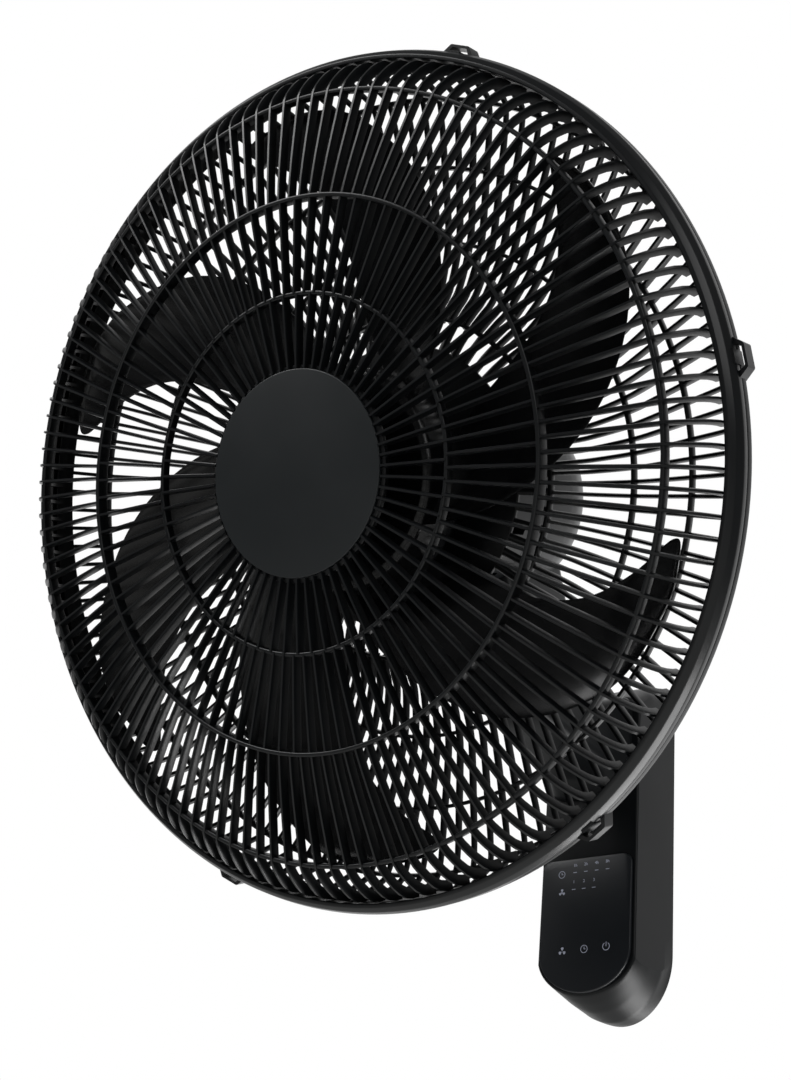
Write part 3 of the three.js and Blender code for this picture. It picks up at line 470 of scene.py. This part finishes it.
# ==== motor ========================================================================================
def motor_covers():
    inner = MOTOR_R - COVER_WALL
    nose = turned(rounded([(NUT_IN, COVER_FRONT), (MOTOR_R, COVER_FRONT), (MOTOR_R, VENT_FRONT), (inner, VENT_FRONT),
                           (inner, COVER_FRONT + COVER_WALL), (NUT_IN, COVER_FRONT + COVER_WALL)],
                          [0.4, 5, 0, 0, 3.4, 0.4], 6))
    skirt = turned([(inner, VENT_BACK), (MOTOR_R, VENT_BACK), (MOTOR_R, COVER_SPLIT), (inner, COVER_SPLIT)])
    bar = [(inner, VENT_FRONT - 0.1), (MOTOR_R, VENT_FRONT - 0.1), (MOTOR_R, VENT_BACK + 0.1),
           (inner, VENT_BACK + 0.1)]
    step = 360 / VENTS
    bars = [turned(bar, segments=10, first=a + VENT_HALF_BAR, last=a + step - VENT_HALF_BAR)
            for a in 85 + np.arange(VENTS) * step]
    make("motor_front_shell", [nose, skirt, *bars], satin_abs, "head", ["motor_front_cover"],
         place=from_motor)

    seam = COVER_SPLIT + COVER_GAP
    outer_line = curve_through(DOME, 22)
    inner_line = outer_line - outward(outer_line) * COVER_WALL
    drum = np.vstack([[(inner, seam), (MOTOR_R, seam)], outer_line, inner_line[::-1]])
    cap, spoke = (np.vstack([line, line[::-1] - (0, COVER_WALL)])
                  for line in (curve_through(CAP, 8), curve_through(CAP_SPOKE, 8)))
    step /= 2
    spokes = [turned(spoke, segments=6, first=a + REAR_VENT_EDGE, last=a + step - REAR_VENT_EDGE)
              for a in np.arange(2 * VENTS) * step]
    make("motor_rear_shell", [turned(drum, segments=128), turned(cap), *spokes, gear_case()], satin_abs, "head",
         ["motor_rear_cover"], place=from_motor)


def outward(line):
    """Unit normals of a line of (radius, y) points, to the left of its direction turned away from the axis."""
    along = np.gradient(line, axis=0)
    along /= np.linalg.norm(along, axis=1, keepdims=True)
    return np.stack([along[:, 1], -along[:, 0]], -1)


def box_outline(half, y0, y1, corner, count=72):
    """A rectangle with round corners as evenly numbered points, for rows that are joined up."""
    return rounded([(half, y0), (half, y1), (-half, y1), (-half, y0)], corner, count // 4 - 1)


def gear_case():
    """The chin below the motor: outline rows go down outside, across the bottom, and up inside."""
    y0, y1 = COVER_SPLIT + COVER_GAP, CASE_BACK
    rows = []

    def row(inset, z, corner):
        o = box_outline(CASE_HALF - inset, y0 + inset, y1 - inset, corner)
        rows.append(np.column_stack([o, np.full(len(o), z)]))

    for drop in np.linspace(0, 1, 6):
        row(0, CASE_TOP + (CASE_FOOT - CASE_TOP) * drop, 9)
    for q in np.radians([15, 30, 45, 60, 75, 90]):
        row(6 - 6 * math.cos(q), CASE_FOOT - 6 * math.sin(q), 9 - 4 * (1 - math.cos(q)))
    o = box_outline(CASE_HALF, y0, y1, 9)
    a = np.arctan2(o[:, 1] - PAN_Y, o[:, 0])
    for r, z in ((21, -80), (20.2, -79.6), (20, -77.6)):  # the round hole that the neck's cup turns in
        rows.append(np.column_stack([r * np.cos(a), PAN_Y + r * np.sin(a), np.full(len(o), z)]))
    row(6, -77.6, 5)
    row(CASE_WALL, -73, 7)
    row(CASE_WALL, CASE_TOP, 7)
    return skin(np.array(rows), round_u=True)


def guard_nut():
    y0, y1 = PLATE_Y - NUT_GAP - NUT_T, PLATE_Y - NUT_GAP
    nut = fluted([(NUT_IN, y0), (NUT_OUT, y0), (NUT_OUT, y1), (NUT_IN, y1)], NUT_FLUTES, 0.06)
    make("guard_nut", [nut], satin_abs, "head", ["grille_nut"])


# ==== neck and arm =================================================================================
def neck():
    cup = turned(rounded([(PIN_R, -94.3), (17, -94.3), (19.7, -88), (19.7, -80.8), (PIN_R, -80.8)],
                         [0.3, 2, 3, 1.2, 0.3]), "z", (0, PAN_Y))
    stem = turned([(PIN_R, -82), (STEM_R, -82), (STEM_R, -73.5), (PIN_R, -73.5)], "z", (0, PAN_Y), 48)
    barrel = turned(rounded([(4.4, -12), (11, -12), (11, 12), (4.4, 12)], 0.8), "x", (PAN_Y, TILT_Z), 72)
    post = turned([(0, -82), (POST_R, -82), (POST_R, -68.6), (0, -68.6)], "z", (POST_X, PAN_Y), 20)
    rows = []
    for z, half, deep in ((TILT_Z, 12, 10.8), (-101, 12, 10.9), (-96, 13.5, 13), (-93.8, 15.5, 15.5)):
        roundness = 0.25 if z < -98 else 0.8
        o = box_outline(half, PAN_Y - deep, PAN_Y + deep, min(half, deep) * roundness)
        rows.append(np.column_stack([o, np.full(len(o), z)]))
    make("tilt_neck_moulding", [cup, stem, barrel, post, skin(np.array(rows))], satin_abs, "neck", ["tilt_neck"],
         place=from_motor)


def wall_arm():
    _, ty, tz = from_motor((0, PAN_Y, TILT_Z))
    table = [(FACE_Y - 0.3, 28, 20, 84), *ARM_ROWS, (ty + 12, 19, tz - 11, tz + 9)]
    rows = []
    for y, half, z0, z1, corner in curve_through(np.column_stack([table, ARM_CORNERS]), 30):
        o = rounded([(half, z1), (-half, z1), (-half, z0), (half, z0)], corner, 8)
        rows.append(np.column_stack([o[:, 0], np.full(len(o), y), o[:, 1]]))
    q = np.radians(np.linspace(90, 270, 25))
    end = np.column_stack([ty + EAR_R * np.cos(q), tz + EAR_R * np.sin(q)])
    outline = np.vstack([end, [(ty + 15, tz - 11), (ty + 15, tz + 9.2), (ty + 8, tz + 10)]])
    middle = outline.mean(0)
    ears = []
    for x0, x1 in ((EAR_IN, EAR_OUT), (-EAR_OUT, -EAR_IN)):
        levels = [(x0, EAR_EDGE), (x0 + EAR_EDGE, 0), (x1 - EAR_EDGE, 0), (x1, EAR_EDGE)]
        ears.append(skin(np.array([np.column_stack([
            np.full(len(outline), x), middle + (outline - middle) * (1 - d / 14)]) for x, d in levels])))
    make("wall_arm_moulding", [skin(np.array(rows)), *ears], housing_abs, "wall_unit", ["wall_arm"],
         place=from_wall, sharp=45)


# ==== wall unit ====================================================================================
def unit_outline(y, inset=0.0, side_steps=10, foot_steps=22, top_steps=12):
    """Half outlines at a depth: an arc of an ellipse for the foot up to the crease, a straight side, then
    a squared ellipse for the top; mirrored in X, then drawn in along its own normals by the inset."""
    rows = np.array(UNIT_ROWS, float)
    half, foot, crease, end, top, rise = (np.interp(y, rows[:, 0], rows[:, i]) for i in range(1, 7))
    q = np.radians(end) * np.linspace(0, 1, foot_steps)
    wide, tall = half / math.sin(math.radians(end)), (crease - foot) / (1 - math.cos(math.radians(end)))
    foot_line = np.column_stack([wide * np.sin(q), foot + tall * (1 - np.cos(q))])
    side = np.column_stack([np.full(side_steps, half), np.linspace(crease, top - rise, side_steps + 2)[1:-1]])
    q = np.radians(90) * np.linspace(1, 0, top_steps)
    power = 2 / 3.2  # 2 over the exponent of the squared ellipse
    top_line = np.column_stack([half * np.sin(q) ** power, top - rise + rise * np.cos(q) ** power])
    right = np.vstack([foot_line, side, top_line])
    left = right[1:-1][::-1] * (-1, 1)
    line = np.vstack([right, left])
    along = np.roll(line, -1, 0) - np.roll(line, 1, 0)
    along /= np.linalg.norm(along, axis=1, keepdims=True)
    line = line - np.stack([along[:, 1], -along[:, 0]], -1) * inset
    return np.column_stack([line[:, 0], np.full(len(line), y), line[:, 1]])


def front_housing():
    """Rows of outlines: round the front edge, back along the outside, over the rear lip, forward inside."""
    q = np.radians([0, 22.5, 45, 67.5, 90])
    front = [(FACE_Y + UNIT_EDGE * (1 - math.cos(a)), UNIT_EDGE * (1 - math.sin(a))) for a in q]
    outside = [(y, 0.0) for y in np.linspace(-45, -0.9, 24)]
    lip = [(-0.65, 0.1), (-0.6, 0.4), (-0.6, UNIT_WALL - 0.3), (-0.9, UNIT_WALL)]
    inside = [(y, UNIT_WALL) for y in (-8, -20, -32, -43, FACE_Y + UNIT_WALL)]
    rows = np.array([unit_outline(y, inset) for y, inset in front + outside + lip + inside])
    make("front_housing_shell", [skin(rows)], housing_abs, "wall_unit", ["front_housing"],
         place=from_wall, sharp=16)


def panel_outline(inset, arc_steps=28, corner_steps=7):
    """A half ellipse below, straight sides and two round corners above."""
    half, low, high = PANEL_HALF - inset, PANEL_BOTTOM + inset, PANEL_TOP - inset
    q = np.radians(np.linspace(0, 90, arc_steps))
    foot = np.column_stack([half * np.sin(q), low + PANEL_ARC * (1 - np.cos(q))])
    q = np.radians(np.linspace(0, 90, corner_steps))
    corner = np.column_stack([half - PANEL_CORNER * (1 - np.cos(q)), high - PANEL_CORNER * (1 - np.sin(q))])
    right = np.vstack([foot, corner])
    return np.vstack([right, right[1:][::-1] * (-1, 1)])


def control_panel():
    rows = [(PANEL_FRONT, 0.6), (PANEL_FRONT + 0.08, 0.3), (PANEL_FRONT + 0.3, 0.08), (PANEL_FRONT + 0.6, 0),
            (PANEL_BACK, 0)]
    shape = skin(np.array([np.insert(panel_outline(inset), 1, y, axis=1) for y, inset in rows]))
    make("control_panel_lens", [shape], acrylic, "wall_unit", ["control_panel"], place=from_wall,
         sharp=30)
    make("panel_marks", panel_marks(), marks, "wall_unit", place=from_wall, sharp=30)


def plate_of(outline):
    """A flat mark of an outline of (x, z) points."""
    o = np.asarray(outline, float)
    return skin(np.array([np.insert(o, 1, y, axis=1) for y in MARK_Y]))


def ring_mark(x, z, r, line=MARK_LINE, first=0.0, last=360.0):
    """A circle, or an arc of one, drawn with an even line."""
    y0, y1 = MARK_Y
    profile = [(r - line / 2, y0), (r + line / 2, y0), (r + line / 2, y1), (r - line / 2, y1)]
    return turned(profile, "y", (x, z), 40, first, last)


def stroke(x0, z0, x1, z1, line=MARK_LINE):
    """A straight mark between two points."""
    a, b = np.array([x0, z0], float), np.array([x1, z1], float)
    side = (b - a)[::-1] * (-1, 1)
    side *= line / 2 / np.linalg.norm(side)
    return plate_of([a - side, b - side, b + side, a + side])


def rotor_mark(x, z, r):
    """Three petals round a middle: a small fan sign."""
    q = np.linspace(0, 2 * math.pi, 24, endpoint=False)
    shapes = []
    for a in np.radians([90, 210, 330]):
        u, v = r * (0.55 + 0.42 * np.cos(q)), r * 0.26 * np.sin(q) * (1.2 + np.cos(q))
        shapes.append(plate_of(np.column_stack([x + u * math.cos(a) - v * math.sin(a),
                                                z + u * math.sin(a) + v * math.cos(a)])))
    return shapes


def numeral(text, x, z):
    """Plain figures as a flat mesh, stood up on the panel."""
    curve = bpy.data.curves.new("numeral", "FONT")
    curve.body, curve.size, curve.align_x, curve.align_y = text, FIGURE_HEIGHT, "CENTER", "CENTER"
    curve.extrude = (MARK_Y[1] - MARK_Y[0]) / 2
    holder = bpy.data.objects.new("numeral", curve)
    bpy.context.scene.collection.objects.link(holder)
    bpy.context.view_layer.update()
    mesh = bpy.data.meshes.new_from_object(holder.evaluated_get(bpy.context.evaluated_depsgraph_get()))
    p = np.array([v.co for v in mesh.vertices])
    points = np.stack([p[:, 0] + x, np.mean(MARK_Y) - p[:, 2], p[:, 1] + z], -1)
    faces = [np.array([list(f.vertices)]) for f in mesh.polygons]
    bpy.data.objects.remove(holder)
    bpy.data.curves.remove(curve)
    bpy.data.meshes.remove(mesh)
    return points, faces


def panel_marks():
    """Hour marks, speed marks and three touch signs, each from circles, strokes, petals and figures."""
    shapes = [ring_mark(-16.8, -28.3, 2.1), stroke(-16.8, -28.3, -16.8, -27), stroke(-16.8, -28.3, -15.8, -28.3)]
    shapes += [*rotor_mark(-16.2, -39.5, 2.2), ring_mark(-16.2, -39.5, 0.5)]
    for i, hours in enumerate("1248"):
        x = -7.6 + 7.4 * i
        shapes += [numeral(hours + "h", x, -23.4 + 0.1 * i), stroke(x - 1.2, -27.8, x + 1.2, -27.8, 0.4)]
    for i, speed in enumerate("123"):
        x = -8.2 + 6.9 * i
        shapes += [numeral(speed, x, -33.6), stroke(x - 1.2, -38.2, x + 1.2, -38.2, 0.4)]
    shapes += rotor_mark(-14.3, -75.2, 2.5)
    shapes += [ring_mark(0.5, -74.8, 2.2), stroke(0.5, -74.8, 0.5, -73.4), stroke(0.5, -74.8, 1.5, -74.8)]
    shapes += [ring_mark(15.2, -74.3, 2.2, 0.4, 120, 420), stroke(15.2, -74.3, 15.2, -71.6, 0.4)]
    return shapes


def gland():
    profile = rounded([(3.2, -8.6), (8, -8.6), (8, -5.9), (5, -5.9), (5, -0.9), (3.2, -0.9)],
                      [0.6, 1.2, 0.2, 0.2, 0.6, 0.6])
    make("cord_gland_bush", [turned(profile, "y", (0, GLAND_Z), 48)], rubber, "wall_unit", ["cord_gland"],
         place=from_wall)


# ==== stage ========================================================================================
def stage():
    """A pale floor well below the fan, soft lamps, and a world that is a white sweep behind the object."""
    floor = bpy.data.meshes.new("floor")
    half, low = 4, -1.3
    floor.from_pydata([(-half, -half, low), (half, -half, low), (half, half, low), (-half, half, low)], [],
                      [(0, 1, 2, 3)])
    ground = bpy.data.objects.new("floor", floor)
    bpy.context.scene.collection.objects.link(ground)
    floor.materials.append(finish_of("pale_matt_floor", "#e9e9e7", 0.8, grain_mm=4, grain_depth=0.01,
                                     varied=0.01))

    lamps = [  # name, place, aim, width, height, watts
        ("key_softbox", (-0.9, -1.9, 1.3), (0, -0.3, 0.1), 1.4, 1.0, 26),
        ("right_softbox", (1.9, -1.0, 0.7), (0, -0.3, 0.0), 0.9, 1.3, 7),
        ("back_strip", (0.5, 0.9, -0.8), (0.1, -0.2, 0.0), 1.2, 0.4, 11),
    ]
    for name, place, aim, width, height, watts in lamps:
        light = bpy.data.lights.new(name, "AREA")
        light.shape, light.size, light.size_y, light.energy = "RECTANGLE", width, height, watts
        lamp = bpy.data.objects.new(name, light)
        bpy.context.scene.collection.objects.link(lamp)
        lamp.matrix_world = looking(place, aim)

    world = bpy.data.worlds.new("white_sweep")
    bpy.context.scene.world = world
    world.use_nodes = True
    tree = world.node_tree
    tree.nodes.clear()
    path = node(tree, "ShaderNodeLightPath")
    towards = node(tree, "ShaderNodeTexCoord").outputs["Generated"]
    behind = node(tree, "ShaderNodeVectorMath", {"operation": "DOT_PRODUCT"}, i0=towards, i1=(-0.45, 0.85, 0.27))
    sweep = node(tree, "ShaderNodeMapRange", {"interpolation_type": "SMOOTHSTEP"}, Value=behind.outputs["Value"],
                 From_Min=0.3, From_Max=0.95, To_Min=0.12, To_Max=1.0)
    soft = node(tree, "ShaderNodeMix", {"data_type": "FLOAT"}, i0=path.outputs["Is Glossy Ray"], i2=0.4,
                i3=sweep.outputs["Result"])
    shown = node(tree, "ShaderNodeMath", {"operation": "MAXIMUM"}, i0=path.outputs["Is Camera Ray"],
                 i1=path.outputs["Is Transmission Ray"])
    level = node(tree, "ShaderNodeMix", {"data_type": "FLOAT"}, i0=shown.outputs[0], i2=soft.outputs[0], i3=1.0)
    back = node(tree, "ShaderNodeBackground", Color=(1, 1, 1, 1), Strength=level.outputs[0])
    node(tree, "ShaderNodeOutputWorld", Surface=back.outputs["Background"])
    bpy.context.scene.view_settings.view_transform = "Standard"


def looking(place, aim, roll=0.0):
    """The matrix of a lamp or camera at a place that looks at a point, turned about its line of sight."""
    back = np.array(place, float) - np.array(aim, float)
    back /= np.linalg.norm(back)
    right = np.cross((0, 0, 1), back)
    right /= np.linalg.norm(right)
    up = np.cross(back, right)
    c, s = math.cos(roll), math.sin(roll)
    right, up = c * right + s * up, c * up - s * right
    matrix = Matrix.Identity(4)
    for i in range(3):
        matrix[i][0], matrix[i][1], matrix[i][2], matrix[i][3] = right[i], up[i], back[i], place[i]
    return matrix


def camera():
    """The photograph's view: from below on the right, a 50 mm lens on a 36 mm frame."""
    azimuth, elevation, roll = (math.radians(a) for a in (39.58, -29.87, 6.65))
    place = np.array([0.45212, -0.81260, -0.31746])
    back = np.array([math.sin(azimuth) * math.cos(elevation), -math.cos(azimuth) * math.cos(elevation),
                     math.sin(elevation)])
    data = bpy.data.cameras.new("photo_camera")
    data.lens, data.sensor_width, data.clip_start = 50, 36, 0.01
    eye = bpy.data.objects.new("photo_camera", data)
    bpy.context.scene.collection.objects.link(eye)
    eye.matrix_world = looking(place, place - back, roll)
    bpy.context.scene.camera = eye


camera()
stage()
dress_cad_nodes()
front_guard()
badge()
rear_guard()
impeller()
motor_covers()
guard_nut()
neck()
wall_arm()
front_housing()
control_panel()
gland()
